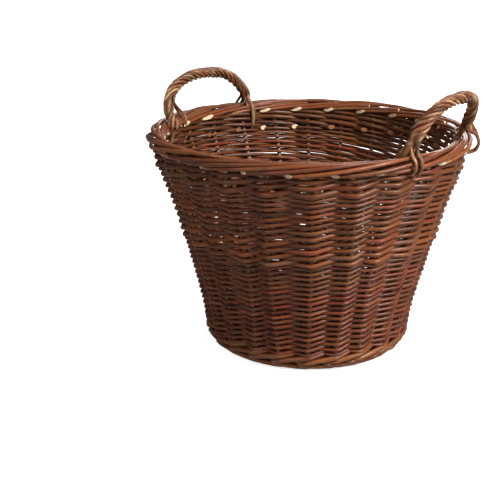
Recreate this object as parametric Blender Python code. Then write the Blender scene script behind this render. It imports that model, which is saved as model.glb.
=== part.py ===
# A round willow basket with two roped handles, as used for logs, potatoes or mushrooms.
# It is a stake and strand basket: a base of slit and through sticks, stakes pushed in beside
# the sticks and bent up, waling at the upset and under the rim, French randed siding, and a
# border rolled from the stakes' own ends. Metres, +Z up, origin on the floor under the centre,
# handles towards +X and -X.

import math

import bmesh
import bpy
from mathutils import Vector

# Overall size
RIM_DIAMETER = 0.450
BORDER_TOP_HEIGHT = 0.313
CORNER_DIAMETER = 0.270
BEND_RADIUS = 0.014
BORDER_OVERHANG = 0.0047
BASE_CROWN = 0.012

# Stakes: the uprights, whose ends make the border
STAKE_COUNT = 24
STAKE_DIAMETER = 0.0070
STAKE_POINT_DIAMETER = 0.0020
STAKE_NECK_DIAMETER = 0.0036
STAKE_INSERT_LENGTH = 0.022
BORDER_RODS_ABREAST = 5
BORDER_TAIL_SPACES = 4.8
BORDER_STEP_SPACES = 0.5
BORDER_BEND_RADIUS = 0.0060

# Siding and waling
WEAVER_DIAMETER = 0.0056
WEAVER_CLEARANCE = 0.0011
WALE_DIAMETER = 0.0065
WALE_CLEARANCE = 0.0004
WALE_FIT = 0.0009
BOTTOM_WALE_COUNT = 3
TOP_WALE_COUNT = 3
WALE_STROKE = 3
WALE_CLIMB_SPACES = 3
FIRST_WALE_ANGLE = math.radians(-78.0)
BUTT_SPACES = 0.3

# Base
STICKS_PER_WAY = 3
STICK_DIAMETER = 0.0080
STICK_SPACING = 0.0086
SLIT_STICK_DEPTH = 0.0130
THROUGH_STICK_DEPTH = 0.0060
STICK_FAN_START = 0.018
BASE_WEAVER_DIAMETER = 0.0050
BASE_WEAVER_CLEARANCE = 0.0005
BASE_WEAVE_START = 0.034

# Handles
HANDLE_HALF_ANGLE = math.radians(25.0)
HANDLE_RISE = 0.066
HANDLE_LEAN = math.radians(27.0)
HANDLE_LEAN_POWER = 1.5
HANDLE_THICKNESS = 0.0150
HANDLE_GROOVE_DEPTH = 0.0016
HANDLE_STRANDS = 4
HANDLE_TWIST_LENGTH = 0.085
HANDLE_CORE_DIAMETER = 0.0120
HANDLE_FOOT_LENGTH = 0.045
HANDLE_RING_SPACING = 0.0090
HANDLE_SHAPE_POWER = 2.6
LASH_DIAMETER = 0.0032
LASH_SEGMENTS = 12

# Clearance between pieces that touch on the real basket
FIT_GAP = 0.0003

# Sides of the rods' sections
STAKE_SIDES = 4
WEAVER_SIDES = 4
BOTTOM_WALE_SIDES = 6
TOP_WALE_SIDES = 4
STICK_SIDES = 6
LASH_SIDES = 5

UP = Vector((0.0, 0.0, 1.0))
STAKE_STEP = 2.0 * math.pi / STAKE_COUNT
SPOKE_COUNT = 4 * STICKS_PER_WAY
SPOKE_STEP = 2.0 * math.pi / SPOKE_COUNT
FIRST_SPOKE_ANGLE = STAKE_STEP

# Border: the rods lie round a ring, one turn in as many stake spaces as rods lie abreast
BORDER_STEP_ANGLE = 2.0 * math.pi / BORDER_RODS_ABREAST
BORDER_CHORD_SHARE = math.cos(0.5 * BORDER_STEP_SPACES * BORDER_STEP_ANGLE)
BORDER_CIRCLE = (STAKE_DIAMETER + 2.0 * FIT_GAP) / (
    2.0 * math.sin(0.5 * BORDER_STEP_ANGLE) * BORDER_CHORD_SHARE
)
BORDER_REACH = BORDER_CIRCLE + 0.5 * STAKE_DIAMETER
BORDER_RADIUS = 0.5 * RIM_DIAMETER - BORDER_REACH
BORDER_HEIGHT = BORDER_TOP_HEIGHT - BORDER_REACH
STAKE_TOP_RADIUS = BORDER_RADIUS - BORDER_OVERHANG
STAKE_TOP_HEIGHT = BORDER_HEIGHT - BORDER_CIRCLE

# Wall: a foot that runs out from the base, a bend, and a straight leaning wall
WALE_OFFSET = 0.5 * (STAKE_DIAMETER + WALE_DIAMETER) + WALE_FIT
WEAVER_OFFSET = 0.5 * (STAKE_DIAMETER + WEAVER_DIAMETER) + FIT_GAP
WALE_FLAT = 0.5 * WALE_DIAMETER * math.sin(0.5 * math.pi - math.pi / BOTTOM_WALE_SIDES)
BEND_HEIGHT = (BEND_RADIUS + WALE_OFFSET) * math.sin(-FIRST_WALE_ANGLE) + WALE_FLAT
FOOT_HEIGHT = BEND_HEIGHT - BEND_RADIUS
CORNER_RADIUS = 0.5 * CORNER_DIAMETER
WALL_LEAN = math.atan2(STAKE_TOP_RADIUS - CORNER_RADIUS, STAKE_TOP_HEIGHT - FOOT_HEIGHT)
BEND_TURN = 0.5 * math.pi - WALL_LEAN
BEND_TANGENT = BEND_RADIUS * math.tan(0.5 * BEND_TURN)
BEND_CENTRE_RADIUS = CORNER_RADIUS - BEND_TANGENT
BEND_LENGTH = BEND_RADIUS * BEND_TURN
WALL_FOOT_RADIUS = BEND_CENTRE_RADIUS + BEND_RADIUS * math.cos(WALL_LEAN)
WALL_FOOT_HEIGHT = BEND_HEIGHT - BEND_RADIUS * math.sin(WALL_LEAN)

# Levels up the wall, as lengths along it from the start of the bend
WALE_STEP = WALE_DIAMETER + WALE_CLEARANCE
FIRST_WALE_LEVEL = BEND_RADIUS * (FIRST_WALE_ANGLE + 0.5 * math.pi)
LAST_BOTTOM_WALE_LEVEL = FIRST_WALE_LEVEL + (BOTTOM_WALE_COUNT - 1) * WALE_STEP
SPACE_UNDER_BORDER = LASH_DIAMETER + 2.0 * FIT_GAP
LAST_TOP_WALE_HEIGHT = BORDER_HEIGHT - BORDER_REACH - SPACE_UNDER_BORDER - 0.5 * WALE_DIAMETER
LAST_TOP_WALE_LEVEL = BEND_LENGTH + (LAST_TOP_WALE_HEIGHT - WALL_FOOT_HEIGHT) / math.cos(WALL_LEAN)
FIRST_TOP_WALE_LEVEL = LAST_TOP_WALE_LEVEL - (TOP_WALE_COUNT - 1) * WALE_STEP

# Base weave
BASE_EDGE_RADIUS = (
    BEND_CENTRE_RADIUS
    + (BEND_RADIUS - WALE_OFFSET) * math.cos(FIRST_WALE_ANGLE)
    - 0.5 * WALE_DIAMETER
    - FIT_GAP
)
BASE_WEAVER_STEP = BASE_WEAVER_DIAMETER + BASE_WEAVER_CLEARANCE
BASE_WEAVE_END = BASE_EDGE_RADIUS - 0.5 * BASE_WEAVER_DIAMETER - BASE_WEAVER_CLEARANCE


def radial(angle):
    """The outward direction at an angle round the basket."""
    return Vector((math.cos(angle), math.sin(angle), 0.0))


def stake_angle(place):
    """Angle of a stake, or of a place between stakes. The handles lie midway between two."""
    return STAKE_STEP * (place + 0.5)


def wall_frame(level):
    """Radius, height and outward normal angle of the wall's centre line at a level."""
    if level < 0.0:
        return BEND_CENTRE_RADIUS + level, FOOT_HEIGHT, -0.5 * math.pi
    if level < BEND_LENGTH:
        turn = level / BEND_RADIUS - 0.5 * math.pi
        radius = BEND_CENTRE_RADIUS + BEND_RADIUS * math.cos(turn)
        return radius, BEND_HEIGHT + BEND_RADIUS * math.sin(turn), turn
    run = level - BEND_LENGTH
    radius = WALL_FOOT_RADIUS + run * math.sin(WALL_LEAN)
    return radius, WALL_FOOT_HEIGHT + run * math.cos(WALL_LEAN), -WALL_LEAN


def wall_point(angle, level, offset):
    """A point at an offset outward from the wall's centre line."""
    radius, height, normal = wall_frame(level)
    radius += offset * math.cos(normal)
    height += offset * math.sin(normal)
    return radial(angle) * radius + UP * height


def base_height(radius):
    """Height of the base sticks' centre line: the base is crowned."""
    share = radius / BASE_EDGE_RADIUS
    return FOOT_HEIGHT + BASE_CROWN * (1.0 - share * share)


def make_material(name, colour, roughness):
    """A bark or wood finish."""
    material = bpy.data.materials.new(name)
    material.use_nodes = True
    shader = material.node_tree.nodes["Principled BSDF"]
    shader.inputs["Base Color"].default_value = (*colour, 1.0)
    shader.inputs["Roughness"].default_value = roughness
    shader.inputs["Metallic"].default_value = 0.0
    return material


def add_object(name, form, material):
    """A named object from a bmesh, shaded smooth except at sharp edges."""
    bmesh.ops.recalc_face_normals(form, faces=form.faces)
    mesh = bpy.data.meshes.new(name)
    form.to_mesh(mesh)
    form.free()
    mesh.materials.append(material)
    mesh.shade_smooth()
    mesh.set_sharp_from_angle(angle=math.radians(60.0))
    made = bpy.data.objects.new(name, mesh)
    bpy.context.scene.collection.objects.link(made)
    return made


def loft(rings, closed=False):
    """A skin over rings of equally many points, with flat ends unless it closes on itself."""
    form = bmesh.new()
    rows = [[form.verts.new(point) for point in ring] for ring in rings]
    sides = len(rows[0])
    pairs = list(zip(rows, rows[1:]))
    if closed:
        pairs.append((rows[-1], rows[0]))
    for first, second in pairs:
        for side in range(sides):
            after = (side + 1) % sides
            form.faces.new((first[side], first[after], second[after], second[side]))
    if not closed:
        form.faces.new(rows[0])
        form.faces.new(rows[-1])
    return form


def section(centre, across, along, half_width, half_depth, sides):
    """An even-angled polygon round a centre, its first corner on the across axis."""
    corners = []
    for side in range(sides):
        turn = 2.0 * math.pi * side / sides
        corners.append(
            centre
            + across * (half_width * math.cos(turn))
            + along * (half_depth * math.sin(turn))
        )
    return corners


def square_axes(points, index, guide, closed=False):
    """Two axes square to a path at one of its points, the first one nearest to a guide."""
    if closed:
        before = points[index - 1]
        after = points[(index + 1) % len(points)]
    else:
        before = points[max(index - 1, 0)]
        after = points[min(index + 1, len(points) - 1)]
    heading = (after - before).normalized()
    across = (guide - heading * guide.dot(heading)).normalized()
    return across, heading.cross(across)


# Base


def stick_path(way, place, length_radius):
    """Centre line of a base stick: parallel to its fellows in the middle, then fanned out."""
    turn = FIRST_SPOKE_ANGLE + SPOKE_STEP * STICKS_PER_WAY * way
    forward = radial(turn)
    sideways = radial(turn + 0.5 * math.pi)
    fan = SPOKE_STEP * place
    stations = []
    for end in (-1.0, 1.0):
        half = [
            (STICK_FAN_START, STICK_SPACING * place),
            (
                0.5 * (STICK_FAN_START + BASE_WEAVE_START * math.cos(fan)),
                0.5 * (STICK_SPACING * place + BASE_WEAVE_START * math.sin(fan)),
            ),
            (BASE_WEAVE_START * math.cos(fan), BASE_WEAVE_START * math.sin(fan)),
            (
                0.5 * (BASE_WEAVE_START + length_radius) * math.cos(fan),
                0.5 * (BASE_WEAVE_START + length_radius) * math.sin(fan),
            ),
            (length_radius * math.cos(fan), length_radius * math.sin(fan)),
        ]
        if end < 0.0:
            half.reverse()
        stations += [(end * run, aside) for run, aside in half]
    middle = len(stations) // 2
    stations.insert(middle, (0.0, STICK_SPACING * place))
    points = []
    for run, aside in stations:
        flat = forward * run + sideways * aside
        points.append(flat + UP * base_height(flat.length))
    return points


def make_stick(name, way, place, middle_depth, material):
    """A base stick, deeper or thinner where the two ways cross."""
    points = stick_path(way, place, BASE_EDGE_RADIUS - FIT_GAP)
    middle = len(points) // 2
    half_width = 0.5 * STICK_DIAMETER
    rings = []
    for index, point in enumerate(points):
        near_middle = abs(index - middle) <= 1
        half_depth = 0.5 * middle_depth if near_middle else half_width
        upward, aside = square_axes(points, index, UP)
        rings.append(section(point, aside, upward, half_width, half_depth, STICK_SIDES))
    return add_object(name, loft(rings), material)


def cut_slit(stick, way, place):
    """Opens the slit that the three crossing sticks pass through."""
    turn = FIRST_SPOKE_ANGLE + SPOKE_STEP * STICKS_PER_WAY * way
    forward = radial(turn)
    sideways = radial(turn + 0.5 * math.pi)
    half_length = 0.5 * (STICKS_PER_WAY * STICK_SPACING) + FIT_GAP
    half_depth = 0.5 * THROUGH_STICK_DEPTH + 2.0 * FIT_GAP
    centre = sideways * (STICK_SPACING * place) + UP * base_height(0.0)
    rings = []
    for end in (-STICK_DIAMETER, STICK_DIAMETER):
        middle = centre + sideways * end
        ring = []
        for run, rise in ((-1, -1), (1, -1), (1, 1), (-1, 1)):
            ring.append(middle + forward * (half_length * run) + UP * (half_depth * rise))
        rings.append(ring)
    cutter = add_object(f"{stick.name}_cutter", loft(rings), stick.data.materials[0])
    cutter.hide_render = True
    cutter.display_type = "WIRE"
    slit = stick.modifiers.new("slit", "BOOLEAN")
    slit.operation = "DIFFERENCE"
    slit.object = cutter


def make_base_sticks(material):
    """Three slit sticks one way and three through sticks the other way."""
    half = STICKS_PER_WAY // 2
    for number in range(STICKS_PER_WAY):
        place = number - half
        stick = make_stick(
            f"base_stick_slit_{number + 1}", 0, place, SLIT_STICK_DEPTH, material
        )
        cut_slit(stick, 0, place)
        make_stick(
            f"base_stick_through_{number + 1}", 1, place, THROUGH_STICK_DEPTH, material
        )


def base_weave_offset(radius):
    """How far a base weaver stands above or below the sticks it crosses."""
    clear = 0.5 * (STICK_DIAMETER + BASE_WEAVER_DIAMETER) + FIT_GAP
    gap = 2.0 * radius * math.sin(0.5 * SPOKE_STEP)
    slope_share = 2.0 * clear / gap
    return clear / math.sqrt(1.0 - slope_share * slope_share)


def make_base_weaver(number, material):
    """One of two rods that spiral out together, each over one stick and under the next."""
    crossings = int(
        (BASE_WEAVE_END - BASE_WEAVE_START) / (2.0 * BASE_WEAVER_STEP) * SPOKE_COUNT
    )
    rings = []
    for crossing in range(crossings + 1 - number * SPOKE_COUNT // 2):
        turns = crossing / SPOKE_COUNT
        radius = BASE_WEAVE_START + BASE_WEAVER_STEP * (2.0 * turns + number)
        side = 1.0 if (crossing + number) % 2 == 0 else -1.0
        angle = FIRST_SPOKE_ANGLE + SPOKE_STEP * crossing
        height = base_height(radius) + side * base_weave_offset(radius)
        centre = radial(angle) * radius + UP * height
        half = 0.5 * BASE_WEAVER_DIAMETER
        rings.append(section(centre, radial(angle), UP, half, half, WEAVER_SIDES))
    return add_object(f"base_weaver_{number + 1}", loft(rings), material)


# Stakes and border


def foot_path(number):
    """A stake's foot: its sharpened butt beside a base stick, then out to the bend."""
    angle = stake_angle(number)
    spoke = FIRST_SPOKE_ANGLE + SPOKE_STEP * round((angle - FIRST_SPOKE_ANGLE) / SPOKE_STEP)
    spoke_side = 1.0 if math.sin(angle - spoke) > 0.0 else -1.0
    stations = []
    for radius, diameter in (
        (BASE_EDGE_RADIUS - STAKE_INSERT_LENGTH, STAKE_POINT_DIAMETER),
        (BASE_EDGE_RADIUS, STAKE_NECK_DIAMETER),
    ):
        aside = 0.5 * (STICK_DIAMETER + diameter) + FIT_GAP
        flat = radial(spoke) * radius + radial(spoke + 0.5 * math.pi) * (spoke_side * aside)
        stations.append((flat + UP * base_height(radius), diameter))
    return stations


def border_point(angle, spaces):
    """A point on a border rod, so many stake spaces past its own stake."""
    turn = -0.5 * math.pi - BORDER_STEP_ANGLE * spaces
    radius = BORDER_RADIUS + BORDER_CIRCLE * math.cos(turn)
    height = BORDER_HEIGHT + BORDER_CIRCLE * math.sin(turn)
    return radial(angle - STAKE_STEP * spaces) * radius + UP * height


def stake_path(number):
    """Centre line and diameter of a stake, from its butt to the cut end in the border."""
    angle = stake_angle(number)
    stations = foot_path(number)
    top_level = LAST_TOP_WALE_LEVEL + 0.5 * WALE_DIAMETER
    for level in (
        0.0,
        0.5 * BEND_LENGTH,
        BEND_LENGTH,
        0.5 * (BEND_LENGTH + top_level),
        top_level,
    ):
        stations.append((wall_point(angle, level, 0.0), STAKE_DIAMETER))
    corner = border_point(angle, 0.0)
    along = radial(angle - 0.5 * math.pi)
    stations.append((corner - UP * BORDER_BEND_RADIUS, STAKE_DIAMETER))
    stations.append((corner + along * BORDER_BEND_RADIUS, STAKE_DIAMETER))
    steps = int(BORDER_TAIL_SPACES / BORDER_STEP_SPACES)
    places = [BORDER_STEP_SPACES * step for step in range(1, steps + 1)]
    if BORDER_TAIL_SPACES > places[-1]:
        places.append(BORDER_TAIL_SPACES)
    for place in places:
        stations.append((border_point(angle, place), STAKE_DIAMETER))
    return stations


def make_stake(number, material):
    """A stake and its border rod in one piece, as it grew."""
    stations = stake_path(number)
    points = [point for point, _ in stations]
    rings = []
    guide = UP
    for index, (point, diameter) in enumerate(stations):
        across, aside = square_axes(points, index, guide)
        guide = across
        rings.append(
            section(point, across, aside, 0.5 * diameter, 0.5 * diameter, STAKE_SIDES)
        )
    return add_object(f"stake_{number + 1:02d}", loft(rings), material)


# Siding and waling


def wale_level(crossing, rounds):
    """Rounds climbed at a crossing: level for most of a round, then up in its last spaces."""
    turn, place = divmod(crossing, STAKE_COUNT)
    climb = 0.0
    if turn < rounds - 1:
        climb = max(0.0, place - (STAKE_COUNT - WALE_CLIMB_SPACES)) / WALE_CLIMB_SPACES
    return min(turn, rounds - 1) + climb


def make_wale(name, first_level, rounds, sides, material):
    """A waling rod: in front of two stakes and behind the third, moved on one each round."""
    half = 0.5 * WALE_DIAMETER
    rings = []
    for crossing in range(rounds * STAKE_COUNT):
        behind = (crossing - crossing // STAKE_COUNT) % WALE_STROKE == 0
        offset = -WALE_OFFSET if behind else WALE_OFFSET
        angle = stake_angle(crossing)
        level = first_level + WALE_STEP * wale_level(crossing, rounds)
        centre = wall_point(angle, level, offset)
        rings.append(section(centre, radial(angle), UP, half, half, sides))
    return add_object(name, loft(rings), material)


def make_weaver(number, first_level, level_step, levels, material):
    """A siding rod: in front of a stake, behind the next, one level up at each."""
    half = 0.5 * WEAVER_DIAMETER
    places = [-BUTT_SPACES] + list(range(levels)) + [levels - 1 + BUTT_SPACES]
    rings = []
    for place in places:
        whole = min(max(place, 0), levels - 1)
        side = 1.0 if whole % 2 == 0 else -1.0
        swing = 1.0 - 2.0 * abs(place - whole)
        angle = stake_angle(number + place)
        level = first_level + level_step * whole
        centre = wall_point(angle, level, side * swing * WEAVER_OFFSET)
        normal = wall_frame(level)[2]
        outward = radial(angle) * math.cos(normal) + UP * math.sin(normal)
        upward = UP * math.cos(normal) - radial(angle) * math.sin(normal)
        rings.append(section(centre, outward, upward, half, half, WEAVER_SIDES))
    return add_object(f"siding_weaver_{number + 1:02d}", loft(rings), material)


def make_wall(siding_bark, wale_bark):
    """Both wales and the siding between them."""
    margin = 0.5 * (WALE_DIAMETER + WEAVER_DIAMETER) + WALE_CLEARANCE
    first_level = LAST_BOTTOM_WALE_LEVEL + margin
    span = FIRST_TOP_WALE_LEVEL - margin - first_level
    steps = int(span / (WEAVER_DIAMETER + WEAVER_CLEARANCE))
    make_wale(
        "bottom_wale", FIRST_WALE_LEVEL, BOTTOM_WALE_COUNT, BOTTOM_WALE_SIDES, wale_bark
    )
    make_wale("top_wale", FIRST_TOP_WALE_LEVEL, TOP_WALE_COUNT, TOP_WALE_SIDES, wale_bark)
    for number in range(STAKE_COUNT):
        make_weaver(number, first_level, span / steps, steps + 1, siding_bark)


# Handles


def handle_path(direction):
    """Centre line of a handle: up inside the wall, over in a bow and down again."""
    half_core = 0.5 * HANDLE_CORE_DIAMETER
    inner = WALE_OFFSET + 0.5 * WALE_DIAMETER + FIT_GAP + half_core
    level = LAST_TOP_WALE_LEVEL + 0.5 * WALE_DIAMETER
    at_border = BORDER_RADIUS - BORDER_REACH - FIT_GAP - 0.5 * HANDLE_THICKNESS
    half_width = at_border * math.sin(HANDLE_HALF_ANGLE)
    run = at_border * math.cos(HANDLE_HALF_ANGLE)
    feet = []
    for side in (-1.0, 1.0):
        angle = direction + side * HANDLE_HALF_ANGLE
        feet.append(
            [
                wall_point(angle, level - HANDLE_FOOT_LENGTH, -inner),
                wall_point(angle, level, -inner),
                radial(angle) * at_border + UP * BORDER_HEIGHT,
            ]
        )
    outward = radial(direction)
    sideways = radial(direction + 0.5 * math.pi)
    rise = HANDLE_RISE + BORDER_REACH - 0.5 * HANDLE_THICKNESS
    bow = []
    steps = int((2.0 * rise + 2.0 * half_width) / HANDLE_RING_SPACING)
    for step in range(1, steps):
        turn = math.pi * (step / steps - 0.5)
        aside = math.copysign(abs(math.sin(turn)) ** (2.0 / HANDLE_SHAPE_POWER), turn)
        up = math.cos(turn) ** (2.0 / HANDLE_SHAPE_POWER)
        bow.append(
            outward * (run + rise * math.tan(HANDLE_LEAN) * up**HANDLE_LEAN_POWER)
            + sideways * (half_width * aside)
            + UP * (BORDER_HEIGHT + rise * up)
        )
    return feet[0], bow, feet[1][::-1]


def roped_ring(centre, across, aside, twist):
    """A section through the strands that are wound over the handle's core."""
    corners = []
    count = 2 * HANDLE_STRANDS
    for corner in range(count):
        crest = corner % 2 == 0
        half = 0.5 * HANDLE_THICKNESS - (0.0 if crest else HANDLE_GROOVE_DEPTH)
        turn = 2.0 * math.pi * corner / count + twist
        corners.append(
            centre + across * (half * math.cos(turn)) + aside * (half * math.sin(turn))
        )
    return corners


def make_lash(angle, name, material):
    """The loop of a handle strand that goes round the border."""
    reach = BORDER_REACH + FIT_GAP + 0.5 * LASH_DIAMETER
    points = []
    for step in range(LASH_SEGMENTS):
        turn = 2.0 * math.pi * step / LASH_SEGMENTS
        radius = BORDER_RADIUS + reach / math.cos(math.pi / LASH_SEGMENTS) * math.cos(turn)
        height = BORDER_HEIGHT + reach * math.sin(turn)
        points.append(radial(angle) * radius + UP * height)
    rings = []
    tangent = radial(angle + 0.5 * math.pi)
    half = 0.5 * LASH_DIAMETER
    for index, point in enumerate(points):
        across, aside = square_axes(points, index, tangent, closed=True)
        rings.append(section(point, across, aside, half, half, LASH_SIDES))
    return add_object(name, loft(rings, closed=True), material)


def make_handle(name, direction, material):
    """A roped handle with its feet inside the wall and its lashings round the border."""
    left_foot, bow, right_foot = handle_path(direction)
    points = left_foot + bow + right_foot
    rings = []
    wound_length = 0.0
    guide = radial(direction)
    for index, point in enumerate(points):
        across, aside = square_axes(points, index, guide)
        guide = across
        in_bow = 2 <= index < len(points) - 2
        if in_bow:
            wound_length += (point - points[index - 1]).length
        twist = 2.0 * math.pi * wound_length / HANDLE_TWIST_LENGTH
        if in_bow:
            rings.append(roped_ring(point, across, aside, twist))
        else:
            half = 0.5 * HANDLE_CORE_DIAMETER
            start = across * math.cos(twist) + aside * math.sin(twist)
            other = aside * math.cos(twist) - across * math.sin(twist)
            rings.append(section(point, start, other, half, half, 2 * HANDLE_STRANDS))
    handle = add_object(name, loft(rings), material)
    for number, side in enumerate((-1.0, 1.0)):
        lash = make_lash(
            direction + side * HANDLE_HALF_ANGLE, f"{name}_lash_{number + 1}", material
        )
        lash.hide_render = True
        lash.display_type = "WIRE"
        joined = handle.modifiers.new(f"lash_{number + 1}", "BOOLEAN")
        joined.operation = "UNION"
        joined.object = lash
    return handle


def clear_scene():
    for thing in list(bpy.data.objects):
        bpy.data.objects.remove(thing, do_unlink=True)


def build():
    clear_scene()
    base_bark = make_material("base_bark", (0.23, 0.10, 0.045), 0.5)
    stake_bark = make_material("stake_bark", (0.30, 0.11, 0.045), 0.42)
    siding_bark = make_material("siding_bark", (0.24, 0.075, 0.035), 0.45)
    wale_bark = make_material("wale_bark", (0.42, 0.18, 0.06), 0.45)
    handle_bark = make_material("handle_bark", (0.42, 0.24, 0.11), 0.55)
    make_base_sticks(base_bark)
    for number in range(2):
        make_base_weaver(number, base_bark)
    for number in range(STAKE_COUNT):
        make_stake(number, stake_bark)
    make_wall(siding_bark, wale_bark)
    make_handle("handle_right", 0.0, handle_bark)
    make_handle("handle_left", math.pi, handle_bark)


build()
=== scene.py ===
# Looks of a round willow basket with two roped handles.
# Every rod is a smooth tube laid along its own way through the weave: upset rods, two tiers of
# siding, thicker rods under the border, stakes whose ends roll over into the border, the base
# and the wound handles. Metres, +Z up, origin on the floor under the centre.

import math

import bpy
import numpy as np
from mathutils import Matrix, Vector


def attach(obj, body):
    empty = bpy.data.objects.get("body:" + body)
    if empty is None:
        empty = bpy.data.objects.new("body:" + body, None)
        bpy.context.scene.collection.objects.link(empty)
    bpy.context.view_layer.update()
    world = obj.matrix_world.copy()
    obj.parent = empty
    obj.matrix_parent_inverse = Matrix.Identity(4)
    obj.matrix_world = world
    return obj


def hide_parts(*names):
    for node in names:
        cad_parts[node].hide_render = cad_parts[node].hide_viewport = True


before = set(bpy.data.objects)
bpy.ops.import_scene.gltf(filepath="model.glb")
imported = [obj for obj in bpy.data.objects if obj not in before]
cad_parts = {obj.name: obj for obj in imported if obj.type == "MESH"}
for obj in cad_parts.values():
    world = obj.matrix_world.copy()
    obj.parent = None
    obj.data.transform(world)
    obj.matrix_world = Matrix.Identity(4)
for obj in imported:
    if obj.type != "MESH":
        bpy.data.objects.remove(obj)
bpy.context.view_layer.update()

SEED = 20

# Sizes shared with the solids
STAKE_COUNT = 24
STAKE_STEP = 2.0 * math.pi / STAKE_COUNT
STAKE_DIAMETER = 0.0070
RIM_DIAMETER = 0.450
BORDER_TOP_HEIGHT = 0.313
CORNER_DIAMETER = 0.270
BEND_RADIUS = 0.014
BORDER_OVERHANG = 0.0047
BORDER_RODS_ABREAST = 7
BORDER_STEP_ANGLE = 2.0 * math.pi / BORDER_RODS_ABREAST
BORDER_CIRCLE = 0.0070
BORDER_REACH = 0.0103
BORDER_RADIUS = 0.5 * RIM_DIAMETER - BORDER_REACH
BORDER_HEIGHT = BORDER_TOP_HEIGHT - BORDER_REACH
BORDER_TAIL_SPACES = 6.7
BORDER_ROLL_SPREAD = 0.0006
FOOT_HEIGHT = 0.0100
BEND_HEIGHT = FOOT_HEIGHT + BEND_RADIUS
STAKE_TOP_RADIUS = BORDER_RADIUS - BORDER_OVERHANG
STAKE_TOP_HEIGHT = BORDER_HEIGHT - BORDER_CIRCLE
CORNER_RADIUS = 0.5 * CORNER_DIAMETER
WALL_LEAN = math.atan2(STAKE_TOP_RADIUS - CORNER_RADIUS, STAKE_TOP_HEIGHT - FOOT_HEIGHT)
BEND_TURN = 0.5 * math.pi - WALL_LEAN
BEND_LENGTH = BEND_RADIUS * BEND_TURN
BEND_CENTRE_RADIUS = CORNER_RADIUS - BEND_RADIUS * math.tan(0.5 * BEND_TURN)
BASE_EDGE_RADIUS = 0.1220
BASE_CROWN = 0.012

# Levels along the wall from the start of the bend
WALL_TOP_LEVEL = 0.2970
LOWER_TIER = (0.0262, 0.1700)
UPPER_TIER = (0.1720, 0.2735)
TOP_TIER = (0.2770, 0.3000)
LOWER_LEVELS = 36
BELLY = 0.0040
BELLY_LEVEL = 0.024
BELLY_SPREAD = 0.031
FLARE = 0.0045
FLARE_LEVEL = 0.266
FLARE_SPREAD = 0.027
SIDE_BULGE = 0.0052
SIDE_BULGE_ANGLE = math.radians(216.5)
SIDE_BULGE_SPREAD = math.radians(38.0)
SIDE_BULGE_START = 0.200
SIDE_LOOSENESS = 0.14
SIDE_DIP = 0.0030
UPPER_LEVELS = 24
TOP_LEVELS = 6

RODS_PER_SPACE = 10
ROD_SIDES = 10


# Number helpers


def dice(*numbers):
    """A random source of its own for one piece, so that no piece depends on another's draws."""
    return np.random.default_rng([SEED, *numbers])


def smooth_share(share):
    """A share from 0 to 1 with a soft start and end."""
    return share * share * (3.0 - 2.0 * share)


def radial(angles):
    """Outward directions at angles round the basket."""
    angles = np.asarray(angles, float)
    return np.stack([np.cos(angles), np.sin(angles), np.zeros_like(angles)], axis=-1)


def upward(heights):
    """Upward steps of given heights."""
    heights = np.asarray(heights, float)
    flat = np.zeros_like(heights)
    return np.stack([flat, flat, heights], axis=-1)


def wall_line(levels):
    """Radius, height and outward normal angle of the stakes' centre lines at levels."""
    levels = np.asarray(levels, float)
    turn = np.clip(levels / BEND_RADIUS, 0.0, BEND_TURN) - 0.5 * math.pi
    run = np.maximum(levels - BEND_LENGTH, 0.0)
    radius = BEND_CENTRE_RADIUS + np.minimum(levels, 0.0)
    radius = radius + BEND_RADIUS * np.cos(turn) + run * math.sin(WALL_LEAN)
    radius = radius + BELLY * np.exp(-(((levels - BELLY_LEVEL) / BELLY_SPREAD) ** 2))
    radius = radius + FLARE * np.exp(-(((levels - FLARE_LEVEL) / FLARE_SPREAD) ** 2))
    height = BEND_HEIGHT + BEND_RADIUS * np.sin(turn) + run * math.cos(WALL_LEAN)
    return radius, height, turn


def side_share(angles):
    """How much of the rim's one-sided bulge is felt at angles, from 0 to 1."""
    apart = (np.asarray(angles) - SIDE_BULGE_ANGLE + math.pi) % (2.0 * math.pi) - math.pi
    return np.exp(-((apart / SIDE_BULGE_SPREAD) ** 2))


def wall_points(angles, levels, offsets, chord=None):
    """Points at offsets outward from the wall's centre line."""
    radius, height, normal = wall_line(levels)
    rise = np.clip((levels - SIDE_BULGE_START) / (WALL_TOP_LEVEL - SIDE_BULGE_START), 0.0, 1.0)
    radius = radius + offsets * np.cos(normal) + SIDE_BULGE * side_share(angles) * rise
    height = height + offsets * np.sin(normal)
    if chord is not None:
        radius = radius * chord
    return radial(angles) * radius[..., None] + upward(height)


STAKE_SWAY = dice(1).normal(0.0, math.radians(1.1), STAKE_COUNT)


def stake_angles(places, levels):
    """Angles of places counted in stakes: each stake strays a little in the wall's middle."""
    places = np.asarray(places, float)
    whole = np.floor(places).astype(int)
    part = places - whole
    sway = STAKE_SWAY[whole % STAKE_COUNT] * (1.0 - part)
    sway = sway + STAKE_SWAY[(whole + 1) % STAKE_COUNT] * part
    share = np.clip(np.asarray(levels, float) / WALL_TOP_LEVEL, 0.0, 1.0)
    return STAKE_STEP * (places + 0.5) + sway * np.sin(math.pi * share)


def row_drift(angles, levels):
    """How far the rows ride up or down together round the wall."""
    share = np.clip((levels - 0.03) / 0.05, 0.0, 1.0) * np.clip((0.275 - levels) / 0.03, 0.0, 1.0)
    wave = np.sin(2.0 * angles + 0.7 + 9.0 * levels) * 0.0011
    wave = wave + np.sin(5.0 * angles + 2.1 - 21.0 * levels) * 0.0006
    return wave * share


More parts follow.
